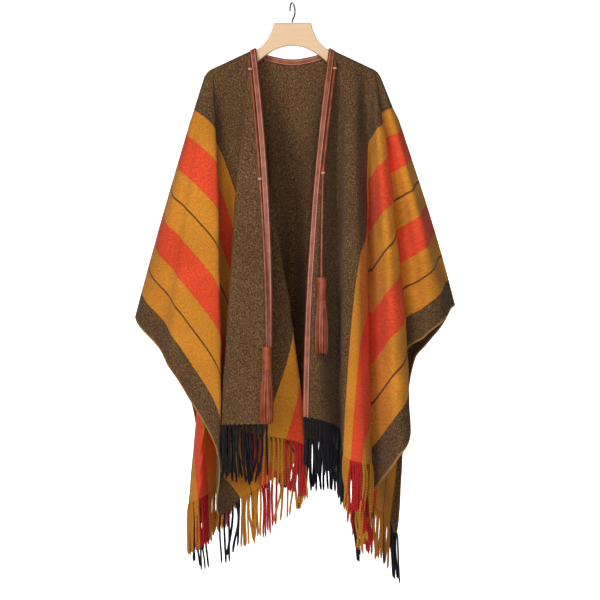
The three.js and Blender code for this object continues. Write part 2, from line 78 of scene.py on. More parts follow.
frontRightFolds = [
    ("opening edge", 78, 44.6, 22.8, 90, 116, -858, 10, 1),
    ("edge panel", 88, 62, 62, 92, 112, -868, 80, 1),
    ("first valley", 102, 94, 97, 40, 50, -890, 165, 1),
    ("second ridge start", 115, 107, 106, 80, 92, -940, 265, 1),
    ("second ridge", 132, 134, 144, 84, 92, -958, 385, 1),
    ("second valley", 146, 153, 163, 26, 34, -968, 440, 1),
    ("front corner", 156, 158, 132, 8, 6, -1064, 730, 1),
    ("third ridge start", 162, 168, 172, 28, 18, -1018, 730, 1),
    ("third ridge", 168, 188, 214, 82, 96, -950, 730, 1),
    ("third ridge turn", 172, 208, 244, 62, 74, -890, 730, 1),
    ("sleeve gap", 175, 204, 230, 16, 22, -745, 730, 1),
    ("sleeve ridge", 178, 240, 284, 46, 52, -690, 730, 1),
    ("sleeve top fold", 184, 256, 341, 0, 0, -634, 730, 1),
]
backLeftFolds = [
    ("centre back", 0, 0, 0, 50, 84, -915, 0, 1),
    ("back valley", -50, -36, -44, 20, 22, -918, 70, 1),
    ("neck turn", -73, -52, -62, 52, 70, -922, 118, 1),
    ("neck point", -80, -62, -78, 70, 96, -926, 146, 1),
    ("back ridge", -100, -80, -96, 90, 124, -932, 190, 1),
    ("outer valley", -132, -112, -128, 16, 16, -972, 310, 1),
    ("outer ridge", -150, -148, -166, 88, 116, -1026, 440, 1),
    ("inner turn", -162, -172, -198, 26, 22, -1044, 550, 1),
    ("back side fold", -168, -180, -224, 72, 88, -1066, 650, 1),
    ("back corner", -172, -174, -186, 104, 124, -1094, 730, 1),
    ("sleeve back ridge", -176, -204, -222, 96, 118, -826, 730, 1),
    ("sleeve back valley", -180, -236, -276, 44, 54, -742, 730, 1),
    ("sleeve top fold", -184, -246, -330, 0, 0, -658, 730, 1),
]
backRightFolds = [
    ("centre back", 0, 0, 0, 50, 84, -915, 0, 1),
    ("back valley", 50, 34, 40, 20, 22, -918, 70, 1),
    ("neck turn", 73, 50, 58, 52, 70, -923, 118, 1),
    ("neck point", 80, 60, 74, 70, 96, -927, 146, 1),
    ("back ridge", 100, 76, 90, 92, 126, -934, 190, 1),
    ("outer valley", 132, 108, 120, 18, 16, -985, 310, 1),
    ("outer ridge", 150, 140, 152, 90, 120, -1048, 450, 1),
    ("inner turn", 158, 158, 176, 28, 24, -1062, 560, 1),
    ("back side fold", 166, 178, 204, 72, 90, -1088, 650, 1),
    ("back corner", 172, 196, 228, 88, 110, -1112, 730, 1),
    ("sleeve back ridge", 177, 222, 250, 94, 112, -800, 730, 1),
    ("sleeve back valley", 180, 246, 290, 44, 52, -715, 730, 1),
    ("sleeve top fold", 184, 256, 341, 0, 0, -634, 730, 1),
]


def crestZ(x):
    a = abs(x)
    slope = (shoulder["kneeZ"] - shoulder["neckZ"]) / (shoulder["kneeX"] - shoulder["neckX"])
    if a < shoulder["neckX"]:
        share = a / shoulder["neckX"]
        return backNeck["sagZ"] + (shoulder["neckZ"] - backNeck["sagZ"]) * share * share
    beyond = max(0, a - shoulder["kneeX"] + shoulder["bendBefore"])
    return shoulder["neckZ"] + slope * (a - shoulder["neckX"]) - beyond * beyond * shoulder["bendRate"]


def throughThree(top, mid, end, t):
    m = shoulder["midShare"]
    return top * (t - m) * (t - 1) / m + mid * t * (1 - t) / (m * (1 - m)) + end * t * (t - m) / (1 - m)


crestDrops = np.array([0, 0.25, 0.9, 2.0, 3.6, 5.6, 8.0, 10.5])
rowShares = (np.arange(1, cloth["rows"] + 1) / cloth["rows"]) ** cloth["rowPower"]
levelDrops = np.concatenate([crestDrops, np.full(cloth["rows"], crestDrops[-1])])
levelShares = np.concatenate([np.zeros(len(crestDrops)), rowShares])


# A fold line as rows of x, y, z and distance from the blanket's centre.
def foldLine(fold, side):
    name, topX, midX, endX, midDepth, endDepth, endZ, endAcross, bend = fold
    topZ = crestZ(topX)
    whole = topZ - endZ
    t = (levelDrops + (whole - levelDrops) * levelShares) / whole
    drop = whole * t
    r = 0 if name == "sleeve top fold" else shoulder["crestRadius"]
    rounded = np.sqrt(np.maximum(0, r * r - (r - np.minimum(drop, r)) ** 2))
    neckShare = max(0, 1 - (topX / shoulder["neckX"]) ** 8)
    atNeck = backNeck["depth"] * neckShare if side > 0 else 0
    depth = throughThree(0, midDepth, endDepth, t) + np.maximum(rounded, atNeck)
    topAcross = min(abs(topX), shoulder["endX"]) * shoulder["endAcross"] / shoulder["endX"]
    across = topAcross + (endAcross - topAcross) * t ** bend
    return np.stack([throughThree(topX, midX, endX, t), side * depth, topZ - drop, across], axis=1)


# The folds joined by a smooth curve at every level and spaced evenly across.
# Each point carries its distance from the blanket's centre.
def panelGrid(folds, side, startsAtFold, columns):
    lines = np.stack([foldLine(fold, side) for fold in folds], axis=1)
    mirror = np.array([1, -1, 1, 1])
    first = lines[:, 1] * mirror if startsAtFold else 2 * lines[:, 0] - lines[:, 1]
    last = lines[:, -2] * mirror
    p = np.concatenate([first[:, None], lines, last[:, None]], axis=1)
    f = (np.arange(cloth["fine"]) / cloth["fine"])[None, :, None]
    pieces = []
    for k in range(len(folds) - 1):
        a, b, c, d = (p[:, k + n][:, None] for n in range(4))
        pieces.append(0.5 * (2 * b + (c - a) * f + (2 * a - 5 * b + 4 * c - d) * f ** 2
                             + (3 * b - a - 3 * c + d) * f ** 3))
    curve = np.concatenate(pieces + [lines[:, -1:]], axis=1)
    steps = np.linalg.norm(np.diff(curve[:, :, :3], axis=1), axis=2)
    reach = np.concatenate([np.zeros((len(curve), 1)), np.cumsum(steps, axis=1)], axis=1)
    grid = np.empty((len(curve), columns + 1, 4))
    for j, row in enumerate(curve):
        wanted = np.linspace(0, reach[j, -1], columns + 1)
        for n in range(4):
            grid[j, :, n] = np.interp(wanted, reach[j], row[:, n])
    grid[:, :, 1] = side * np.maximum(0, side * grid[:, :, 1])
    return grid


def gridNormals(points, flip):
    across = np.gradient(points, axis=1)
    down = np.gradient(points, axis=0)
    n = np.cross(across, down) * flip
    n /= np.maximum(1e-9, np.linalg.norm(n, axis=2, keepdims=True))
    n[:, :, 1] *= np.clip(np.abs(points[:, :, 1]) / 2.5, 0, 1)
    for col, beside in ((0, 1), (-1, -2)):
        if abs(points[3, col, 1]) < 0.01:
            n[0, col] = n[0, beside] + n[1, col]
    return n / np.maximum(1e-9, np.linalg.norm(n, axis=2, keepdims=True))


# Wide folds that fan out over each sleeve from the end of the hanger; angles in degrees from straight down.
sleeveFan = {"originX": 176, "height": 5, "period": 9, "phase": 12.2, "firstAngle": 5.5, "blend": 3,
             "fullReach": 350, "most": 1.3}


# Soft unevenness of hanging wool, which fades out at the shoulder and sleeve folds.
def softWaves(grid, normals, side):
    u, z = grid[:, :, 3], grid[:, :, 2]
    waves = (1.5 * np.sin(u / 31 + z / 190 + side) * np.sin(z / 83 + u / 61)
             + 0.9 * np.sin(u / 17 - z / 120 + 2 * side) * np.sin(z / 47 + u / 29)
             + 0.5 * np.sin(u / 11 + z / 31) * np.sin(z / 23 - u / 19))
    fade = np.clip((np.abs(grid[:, :, 1]) - 2) / 14, 0, 1)
    outward, below = np.abs(grid[:, :, 0]) - sleeveFan["originX"], shoulder["kneeZ"] - z
    angle = np.degrees(np.arctan2(outward, np.maximum(below, 1)))
    reach = np.hypot(outward, below)
    fan = sleeveFan["height"] * np.sin(2 * np.pi * (angle - sleeveFan["phase"]) / sleeveFan["period"])
    fan = fan * np.clip(reach / sleeveFan["fullReach"], 0, sleeveFan["most"])
    fan = fan * np.clip((angle - sleeveFan["firstAngle"]) / sleeveFan["blend"], 0, 1) * (below > 0)
    return grid[:, :, :3] + normals * ((waves + fan) * fade)[:, :, None]


class Panel:
    def __init__(self, folds, side, flip, startsAtFold, columns):
        grid = panelGrid(folds, side, startsAtFold, columns)
        self.across = grid[:, :, 3]
        self.points = softWaves(grid, gridNormals(grid[:, :, :3], flip), side)
        self.normals = gridNormals(self.points, flip)
        steps = np.linalg.norm(np.diff(self.points, axis=0), axis=2)
        self.along = np.concatenate([np.zeros((1, columns + 1)), np.cumsum(steps, axis=0)], axis=0)


panels = {
    "left": Panel(frontLeftFolds, -1, 1, False, cloth["frontColumns"]),
    "right": Panel(frontRightFolds, -1, -1, False, cloth["frontColumns"]),
    "back": Panel(list(reversed(backRightFolds[1:])) + backLeftFolds, 1, -1, True, cloth["backColumns"]),
}


def areaOf(panel):
    p = panel.points
    across, down = p[:-1, 1:] - p[:-1, :-1], p[1:, :-1] - p[:-1, :-1]
    return float(np.linalg.norm(np.cross(across, down), axis=2).sum()) * mm * mm


print("cloth surfaces worked out, in square metres:",
      {side: round(areaOf(panel), 3) for side, panel in panels.items()})


def addMesh(name, vertices, faces, uvs=None, sharp=None):
    mesh = bpy.data.meshes.new(name)
    mesh.from_pydata([tuple(v) for v in vertices], [], faces)
    if uvs is not None:
        layer = mesh.uv_layers.new(name="cut")
        loopVertex = np.zeros(len(mesh.loops), np.int32)
        mesh.loops.foreach_get("vertex_index", loopVertex)
        layer.data.foreach_set("uv", np.asarray(uvs, np.float32)[loopVertex].ravel())
    mesh.shade_smooth()
    if sharp:
        mesh.set_sharp_from_angle(angle=math.radians(sharp))
    piece = bpy.data.objects.new(name, mesh)
    scene.collection.objects.link(piece)
    return piece


# Position and normal at a distance in from the start of a row of points, of which the first few are enough.
def inFromEdge(row, normals, distance, near=40):
    steps = np.linalg.norm(np.diff(row[:near], axis=0), axis=1)
    reach = np.concatenate([[0], np.cumsum(steps)])
    point = np.array([np.interp(distance, reach, row[:near, n]) for n in range(3)])
    normal = np.array([np.interp(distance, reach, normals[:near, n]) for n in range(3)])
    return point, normal / np.linalg.norm(normal)


# The laces follow the trim to their tacks, then hang to the tassels.
lace = {"diameter": 5.0, "topShare": 0.03, "inset": 14.9, "standOff": 24, "sections": 30, "sides": 12,
        "inTasselFrom": 12, "inTassel": 72, "inTasselPoints": 6}
laceSpecs = {
    "left": {"tackShare": 0.357, "endShare": 0.795, "endInset": 9},
    "right": {"tackShare": 0.343, "endShare": 0.618, "endInset": 27},
}


def laceRoute(side):
    panel, spec = panels[side], laceSpecs[side]
    edge = panel.points[:, 0]
    shares = (edge[0, 2] - edge[:, 2]) / (edge[0, 2] - edge[-1, 2])
    onCloth = cloth["solidWall"] / 2 + 2 * cloth["gap"] + lace["diameter"] / 2
    route = []
    for k in range(lace["sections"] + 1):
        t = lace["topShare"] + (spec["endShare"] - lace["topShare"]) * k / lace["sections"]
        free = max(0, (t - spec["tackShare"]) / (spec["endShare"] - spec["tackShare"]))
        inset = lace["inset"] + (spec["endInset"] - lace["inset"]) * free
        j = int(np.searchsorted(shares, t))
        f = (t - shares[j - 1]) / (shares[j] - shares[j - 1])
        above, below = (inFromEdge(panel.points[i], panel.normals[i], inset) for i in (j - 1, j))
        point = above[0] * (1 - f) + below[0] * f
        normal = above[1] * (1 - f) + below[1] * f
        point = point + normal / np.linalg.norm(normal) * onCloth
        point[1] -= (lace["standOff"] - onCloth) * free * free
        route.append(point)
    drops = np.linspace(lace["inTasselFrom"], lace["inTassel"], lace["inTasselPoints"])
    inside = [route[-1] + (0, 0, -drop) for drop in drops]
    return np.array(route + inside)


# Faces that join rings of points into a closed tube, with both ends.
def ringFaces(rings, size):
    faces = [(k * size + s, k * size + (s + 1) % size, (k + 1) * size + (s + 1) % size, (k + 1) * size + s)
             for k in range(rings - 1) for s in range(size)]
    return faces + [tuple(range(size))[::-1], tuple((rings - 1) * size + s for s in range(size))]


# A closed tube round a line of points, with rings that keep level so that they never twist.
def tubeParts(route, radius, sides):
    route = np.asarray(route, float)
    tangents = np.gradient(route, axis=0)
    tangents /= np.linalg.norm(tangents, axis=1, keepdims=True)
    radii = np.broadcast_to(radius, (len(route),))
    vertices, uvs = [], []
    reach = np.concatenate([[0], np.cumsum(np.linalg.norm(np.diff(route, axis=0), axis=1))])
    for k, (p, t) in enumerate(zip(route, tangents)):
        a = np.cross(t, (0, 1, 0))
        a /= np.linalg.norm(a)
        b = np.cross(t, a)
        for s in range(sides):
            angle = 2 * math.pi * s / sides
            vertices.append(p + radii[k] * (math.cos(angle) * a + math.sin(angle) * b))
            uvs.append((s / sides, reach[k]))
    return vertices, ringFaces(len(route), sides), uvs


lacePieces, laceRoutes = {}, {}
for side in ("left", "right"):
    route = laceRoute(side) * mm
    vertices, faces, uvs = tubeParts(route, lace["diameter"] * mm / 2, lace["sides"])
    lacePieces[side] = addMesh(f"lace_{side}_look", vertices, faces, uvs, 50)
    laceRoutes[side] = route
print("laces made")


# Shader maths: a wrapped socket whose operators add Math nodes.
class Term:
    def __init__(self, shader, socket):
        self.shader, self.socket = shader, socket

    def maths(self, operation, a, b=0.0):
        return self.shader.node("ShaderNodeMath", {"operation": operation}, {0: a, 1: b})[0]

    def __add__(self, other): return self.maths("ADD", self, other)
    def __radd__(self, other): return self.maths("ADD", other, self)
    def __sub__(self, other): return self.maths("SUBTRACT", self, other)
    def __rsub__(self, other): return self.maths("SUBTRACT", other, self)
    def __mul__(self, other): return self.maths("MULTIPLY", self, other)
    def __rmul__(self, other): return self.maths("MULTIPLY", other, self)
    def __truediv__(self, other): return self.maths("DIVIDE", self, other)
    def __rtruediv__(self, other): return self.maths("DIVIDE", other, self)
    def __mod__(self, other): return self.maths("FLOORED_MODULO", self, other)
    def sine(self): return self.maths("SINE", self)
    def size(self): return self.maths("ABSOLUTE", self)

    def between(self, low, high, soft):  # 1 from low to high, with soft ends
        rise = self.shader.ramp(self, low - soft, low + soft)
        fall = self.shader.ramp(self, high - soft, high + soft)
        return rise * (1 - fall)


class Shader:
    def __init__(self, name, **constants):
        self.material = bpy.data.materials.new(name)
        self.material.use_nodes = True
        self.tree = self.material.node_tree
        self.surface = self.tree.nodes["Principled BSDF"]
        for socket, value in constants.items():
            self.surface.inputs[socket.replace("_", " ")].default_value = value

    def node(self, kind, settings=None, sockets=None):
        made = self.tree.nodes.new(kind)
        for key, value in (settings or {}).items():
            setattr(made, key, value)
        for key, value in (sockets or {}).items():
            target = made.inputs[key]
            if isinstance(value, Term):
                self.tree.links.new(value.socket, target)
            elif hasattr(value, "__len__") and len(value) == 3 and target.type == "RGBA":
                target.default_value = (*value, 1)
            else:
                target.default_value = value
        return [Term(self, output) for output in made.outputs]

    def ramp(self, value, low, high, bottom=0.0, top=1.0):
        return self.node("ShaderNodeMapRange", {"interpolation_type": "SMOOTHSTEP"},
                         {0: value, 1: low, 2: high, 3: bottom, 4: top})[0]

    def mix(self, share, a, b, blend="MIX"):
        return self.node("ShaderNodeMix", {"data_type": "RGBA", "blend_type": blend},
                         {0: share, 6: a, 7: b})[2]

    def noise(self, place, scale, detail=2.0, rough=0.5, warp=0.0):
        return self.node("ShaderNodeTexNoise", {}, {
            "Vector": place, "Scale": scale, "Detail": detail, "Roughness": rough, "Distortion": warp})[0]

    def stretched(self, place, factors):
        return self.node("ShaderNodeVectorMath", {"operation": "MULTIPLY"}, {0: place, 1: factors})[0]

    def coordinates(self):  # the uv parts and the place in space
        uv = self.node("ShaderNodeUVMap", {"uv_map": "cut"})[0]
        split = self.node("ShaderNodeSeparateXYZ", {}, {0: uv})
        space = self.node("ShaderNodeTexCoord")[3]
        return uv, split[0], split[1], space

    def finish(self, **sockets):
        for socket, value in sockets.items():
            self.tree.links.new(value.socket, self.surface.inputs[socket.replace("_", " ")])
        return self.material

    def bump(self, height, strength, distance):
        return self.node("ShaderNodeBump", {}, {
            "Strength": strength, "Distance": distance, "Height": height})[0]


def linear(r, g, b):  # from screen colour to the shader's linear colour
    return tuple((v / 255 / 12.92) if v <= 10 else ((v / 255 + 0.055) / 1.055) ** 2.4 for v in (r, g, b))


# The blanket's stripes by distance from its centre in millimetres; all else is brown.
stripes = {
    "mustard": [(260, 312), (380, 491), (558, 669)],
    "red": [(312, 380), (491, 558)],
    "lines": [434, 611],
    "lineWidth": 4.2,
    "edge": 724,
    "edgeBlend": 4,
}
wool = {
    "brownDark": linear(54, 37, 23), "brown": linear(98, 69, 42), "brownLight": linear(164, 126, 80),
    "mustard": linear(228, 150, 48), "mustardDark": linear(200, 122, 34),
    "red": linear(246, 88, 50), "redDark": linear(220, 66, 34),
    # edge: a pale tan for the side edge, partly a painted highlight
    "line": linear(74, 54, 36), "edge": linear(190, 140, 76),
}


def woolMaterial():
    shader = Shader("stripedWool", Roughness=0.95, Specular_IOR_Level=0.2,
                    Sheen_Weight=0.05, Sheen_Roughness=0.55)
    uv, u, v, space = shader.coordinates()
    wander = (shader.noise(space, 260.0, 2.0) - 0.5) * 0.0016
    across = u + wander
    fleck = shader.noise(shader.stretched(uv, (1.0, 0.6, 1.0)), 330.0, 4.0, 0.7)
    grain = shader.noise(space, 420.0, 3.0, 0.7)
    cloud = shader.noise(space, 9.0, 2.0)
    brown = shader.mix(shader.ramp(fleck, 0.38, 0.54), wool["brownDark"], wool["brown"])
    brown = shader.mix(shader.ramp(grain, 0.5, 0.66) * 0.8, brown, wool["brownLight"])
    soft = shader.ramp(fleck, 0.35, 0.65)
    mustard = shader.mix(soft, wool["mustardDark"], wool["mustard"])
    red = shader.mix(soft, wool["redDark"], wool["red"])
    colour = brown
    for name, yarn in (("mustard", mustard), ("red", red)):
        for low, high in stripes[name]:
            colour = shader.mix(across.between(low * mm, high * mm, 0.0006), colour, yarn)
    for middle in stripes["lines"]:
        half = stripes["lineWidth"] / 2
        mask = across.between((middle - half) * mm, (middle + half) * mm, 0.0008)
        colour = shader.mix(mask * 0.9, colour, wool["line"])
    # Partly painted highlight: a lighter tan band along the side edge stands for the paler cut edge and for
    # light catching where the edge curls.
    paleEdgeAndHighlight = shader.ramp(u, stripes["edge"] * mm, (stripes["edge"] + stripes["edgeBlend"]) * mm)
    colour = shader.mix(paleEdgeAndHighlight * 0.75, colour, wool["edge"])
    shade = shader.ramp(cloud, 0.3, 0.7, 0.86, 1.06)
    grey = shader.node("ShaderNodeCombineXYZ", {}, {0: shade, 1: shade, 2: shade})[0]
    colour = shader.mix(1.0, colour, grey, "MULTIPLY")
    twill = ((u * 2900 + v * 2900).sine() * 0.5 + 0.5) * 0.35
    nap = shader.noise(space, 1500.0, 3.0, 0.7)
    height = twill + nap * 0.8 + fleck * 0.6
    normal = shader.bump(height, 0.55, 0.0011)
    return shader.finish(Base_Color=colour, Normal=normal)


woolLook = woolMaterial()


# A closed sheet on a panel's grid, with its rims.
def sheetPiece(name, panel, flip):
    points, normals = panel.points, panel.normals
    rows, wide = points.shape[:2]
    half = cloth["wall"] / 2
    layers = [points + normals * half, points - normals * half]
    vertices = np.concatenate([layer.reshape(-1, 3) for layer in layers]) * mm
    uv = np.stack([panel.across, panel.along], axis=2).reshape(-1, 2) * mm
    j, i = np.meshgrid(np.arange(rows - 1), np.arange(wide - 1), indexing="ij")
    a = (j * wide + i).ravel()
    quads = np.stack([a, a + 1, a + wide + 1, a + wide], axis=1)
    under = quads[:, ::-1] + rows * wide
    top = [np.arange(wide - 1), (rows - 1) * wide + np.arange(wide - 1)]
    side = [np.arange(rows - 1) * wide, np.arange(rows - 1) * wide + wide - 1]
    deep = rows * wide
    rims = [np.stack([top[0] + deep, top[0] + deep + 1, top[0] + 1, top[0]], axis=1),
            np.stack([top[1], top[1] + 1, top[1] + deep + 1, top[1] + deep], axis=1),
            np.stack([side[0] + deep, side[0], side[0] + wide, side[0] + wide + deep], axis=1),
            np.stack([side[1], side[1] + deep, side[1] + wide + deep, side[1] + wide], axis=1)]
    faces = np.concatenate([quads, under] + rims)
    if flip > 0:
        faces = faces[:, ::-1]
    piece = addMesh(name, vertices, faces.tolist(), np.concatenate([uv, uv]), 60)
    piece.data.materials.append(woolLook)
    return piece


sheets = {
    "left": sheetPiece("wrap_front_left_look", panels["left"], -1),
    "right": sheetPiece("wrap_front_right_look", panels["right"], 1),
    "back": sheetPiece("wrap_back_look", panels["back"], 1),
}
for side, node in (("left", "wrap_front_left"), ("right", "wrap_front_right"), ("back", "wrap_back")):
    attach(sheets[side], "root")
    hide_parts(node)
print("cloth made")

# Fringe: twisted yarns below each hem, in the warp's own colours.
fringe = {"length": 106, "shortest": 0.93, "longest": 1.05, "radius": 2.5, "pitch": 10.2, "sides": 8,
          "rings": 13, "splay": 7.0, "curl": 2.0, "rootShare": 0.9, "tipShare": 0.62, "lineHalf": 5,
          "twist": 0.0056, "seed": 11}


def fringeMaterial():
    shader = Shader("fringeYarn", Roughness=0.9, Specular_IOR_Level=0.25,
                    Sheen_Weight=0.06, Sheen_Roughness=0.5)
    uv, u, v, space = shader.coordinates()
    black, navy = linear(15, 15, 20), linear(30, 32, 44)
    mustard, mustardDark = linear(222, 146, 42), linear(180, 106, 28)
    red, redDark = linear(216, 36, 36), linear(164, 20, 24)
    fibre = shader.noise(space, 700.0, 3.0, 0.6)
    colour = shader.mix(shader.ramp(fibre, 0.4, 0.65), black, navy)
    gold = shader.mix(shader.ramp(fibre, 0.35, 0.6), mustardDark, mustard)
    crimson = shader.mix(shader.ramp(fibre, 0.35, 0.6), redDark, red)
    for name, yarn in (("mustard", gold), ("red", crimson)):
        for low, high in stripes[name]:
            colour = shader.mix(u.between(low * mm, high * mm, 0.0004), colour, yarn)
    for middle in stripes["lines"]:
        mask = u.between((middle - fringe["lineHalf"]) * mm, (middle + fringe["lineHalf"]) * mm, 0.0004)
        colour = shader.mix(mask * 0.85, colour, linear(70, 52, 36))
    turn = (v * (2 * math.pi / fringe["twist"])).sine() * 0.5 + 0.5
    # Painted shade: the yarn is darkened towards the grooves of its twist.
    colour = shader.mix((1 - turn) * 0.35, colour, linear(24, 14, 10))
    normal = shader.bump(turn + fibre * 0.5, 0.7, 0.0009)
    return shader.finish(Base_Color=colour, Normal=normal)


fringeLook = fringeMaterial()


def fringePiece(name, panel, seed):
    random = np.random.default_rng(seed)
    isHem = np.where(panel.across[-1] < cloth["halfWidth"] - 1)[0]
    hem = panel.points[-1, isHem[0]:isHem[-1] + 1]
    above = panel.points[-4, isHem[0]:isHem[-1] + 1]
    across = panel.across[-1, isHem[0]:isHem[-1] + 1]
    moved = np.concatenate([[0], np.cumsum(np.abs(np.diff(across)))])
    count = int(moved[-1] / fringe["pitch"])
    vertices, faces, uvs = [], [], []
    lean = 0.0
    for k in range(count):
        at = (k + 0.5) / count * moved[-1]
        root = np.array([np.interp(at, moved, hem[:, n]) for n in range(3)])
        behind = np.array([np.interp(at, moved, above[:, n]) for n in range(3)])
        place = np.interp(at, moved, across)
        start = (root - behind) / np.linalg.norm(root - behind)
        lean = 0.5 * lean + random.normal(0, 0.5) * fringe["splay"]
        depthLean = random.normal(0, 0.35) * fringe["splay"]
        length = fringe["length"] * random.uniform(fringe["shortest"], fringe["longest"])
        curl = random.normal(0, fringe["curl"])
        line = []
        for m in range(fringe["rings"]):
            s = m / (fringe["rings"] - 1)
            drop = length * s
            early = start * min(drop, 14) * (1 - s) * 0.8
            point = root - start * 1.5 + early * (1, 1, 0)
            point = point + (lean * s ** 1.6 + curl * math.sin(math.pi * s * 1.5), depthLean * s, -drop)
            line.append(point)
        radius = fringe["radius"] * random.uniform(0.85, 1.1)
        radii = np.full(fringe["rings"], radius)
        radii[0] *= fringe["rootShare"]
        radii[-1] *= fringe["tipShare"]
        v, f, uv = tubeParts(np.array(line) * mm, radii * mm, fringe["sides"])
        base = len(vertices)
        vertices += v
        faces += [tuple(n + base for n in face) for face in f]
        uvs += [(place * mm, reach + side * fringe["twist"]) for side, reach in uv]
    piece = addMesh(name, vertices, faces, uvs, 50)
    piece.data.materials.append(fringeLook)
    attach(piece, "root")
    return piece


fringes = {}
for side, node in (("left", "fringe_front_left"), ("right", "fringe_front_right"), ("back", "fringe_back")):
    fringes[side] = fringePiece(f"{node}_look", panels[side], fringe["seed"] + len(fringes))
    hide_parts(node)
print("fringe made")

# Leather trim folded over the edges, with a row of stitching along each side.
trim = {"width": 12, "rise": 1.55, "edgePoints": 6, "sidePoints": 8}


def leatherMaterial(name, base, dark, light, stitched, rough):
    shader = Shader(name, Roughness=rough, IOR=1.45, Coat_Weight=0.12, Coat_Roughness=0.4)
    uv, u, v, space = shader.coordinates()
    cloud = shader.noise(space, 60.0, 3.0)
    pores = shader.noise(space, 1400.0, 3.0, 0.6)
    worn = shader.noise(space, 220.0, 4.0, 0.6)
    colour = shader.mix(shader.ramp(cloud, 0.35, 0.65), dark, base)
    colour = shader.mix(shader.ramp(worn, 0.55, 0.8) * 0.5, colour, light)
    height = pores * 0.5 + worn * 0.4
    if stitched:
        edge = shader.ramp((u - 0.5).size(), 0.40, 0.49)  # u runs from 0 to 1 across the band
        colour = shader.mix(edge * 0.55, colour, linear(94, 40, 20))
        row = (((u - 0.5).size() - 0.30).size()).between(-1.0, 0.035, 0.012)
        thread = row * ((v % 0.0042) / 0.0042).between(0.12, 0.88, 0.06)
        # Painted shade: the leather is darkened along the two stitch grooves.
        colour = shader.mix(row * 0.45, colour, linear(96, 42, 22))
        colour = shader.mix(thread, colour, linear(226, 168, 132))
        height = height + thread * 1.4 - row * 1.2 - edge * 1.5
    normal = shader.bump(height, 0.5, 0.0006)
    roughness = shader.ramp(worn, 0.3, 0.8, rough - 0.08, rough + 0.14)
    return shader.finish(Base_Color=colour, Normal=normal, Roughness=roughness)


trimLook = leatherMaterial("trimLeather", linear(160, 78, 48), linear(126, 56, 34), linear(190, 116, 84),
                           True, 0.5)
laceLook = leatherMaterial("laceLeather", linear(164, 80, 46), linear(132, 56, 30), linear(196, 116, 82),
                           False, 0.42)


# Lines are the cloth's points and normals from its edge inwards, one line for each station along the edge.
def trimPiece(name, lines, flip):
    half = cloth["wall"] / 2 + trim["rise"]
    vertices, uvs = [], []
    travelled, before = 0.0, None
    for sample in lines:
        edge, inner = sample(0), sample(4)
        away = (edge[0] - inner[0]) / np.linalg.norm(edge[0] - inner[0])
        if before is not None:
            travelled += np.linalg.norm(edge[0] - before)
        before = edge[0]
        ring = []
        for k in range(trim["sidePoints"] + 1):
            d = trim["width"] * (1 - k / trim["sidePoints"])
            point, normal = sample(d)
            lift = half - 1.1 * (1 - min(1, (trim["width"] - d) / 2.2)) ** 2
            ring.append((point, normal, lift, k / trim["sidePoints"] * 0.92))
        front = [point + normal * lift for point, normal, lift, _ in ring]
        rear = [point - normal * lift for point, normal, lift, _ in ring][::-1]
        turn = []
        for k in range(1, trim["edgePoints"]):
            angle = math.pi / 2 - math.pi * k / trim["edgePoints"]
            turn.append(edge[0] + away * half * 0.75 * math.cos(angle) + edge[1] * half * math.sin(angle))
        section = front + turn + rear
        vertices += [p * mm for p in section]
        shares = [s for *_, s in ring]
        uvs += [(s, travelled * mm) for s in shares]
        uvs += [(0.97, travelled * mm)] * len(turn)
        uvs += [(s, travelled * mm) for s in shares[::-1]]
    faces = ringFaces(len(lines), len(section))
    if flip:
        faces = [face[::-1] for face in faces]
    piece = addMesh(name, vertices, faces, uvs, 60)
    piece.data.materials.append(trimLook)
    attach(piece, "root")
    return piece


for side in ("left", "right"):
    panel = panels[side]
    lines = [lambda d, j=j, panel=panel: inFromEdge(panel.points[j], panel.normals[j], d)
             for j in range(len(panel.points))]
    trimPiece(f"trim_front_{side}_look", lines, side == "left")
    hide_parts(f"trim_front_{side}")
back = panels["back"]
neckColumns = [i for i in range(back.points.shape[1]) if abs(back.points[0, i, 0]) < backNeck["trimHalf"]]
lines = [lambda d, i=i: inFromEdge(back.points[:, i], back.normals[:, i], d) for i in neckColumns]
trimPiece("trim_neck_look", lines, True)
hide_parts("trim_neck")
print("trim made")

# Tassels: a leather-wrapped head over a skirt of cut strips.
tassel = {"headRadius": 9.8, "headLength": 49, "skirtLength": 108, "skirtRadius": 13.8,
          "outerStrips": 13, "innerStrips": 8, "stripWidth": 5.2, "stripThick": 1.9, "stripRings": 12,
          "headSides": 28, "belowLace": 1.2, "seed": 5}
stripSection = [(-1, -0.4), (-0.8, -1), (0.8, -1), (1, -0.4), (0.82, 0.7), (0, 1), (-0.82, 0.7)]


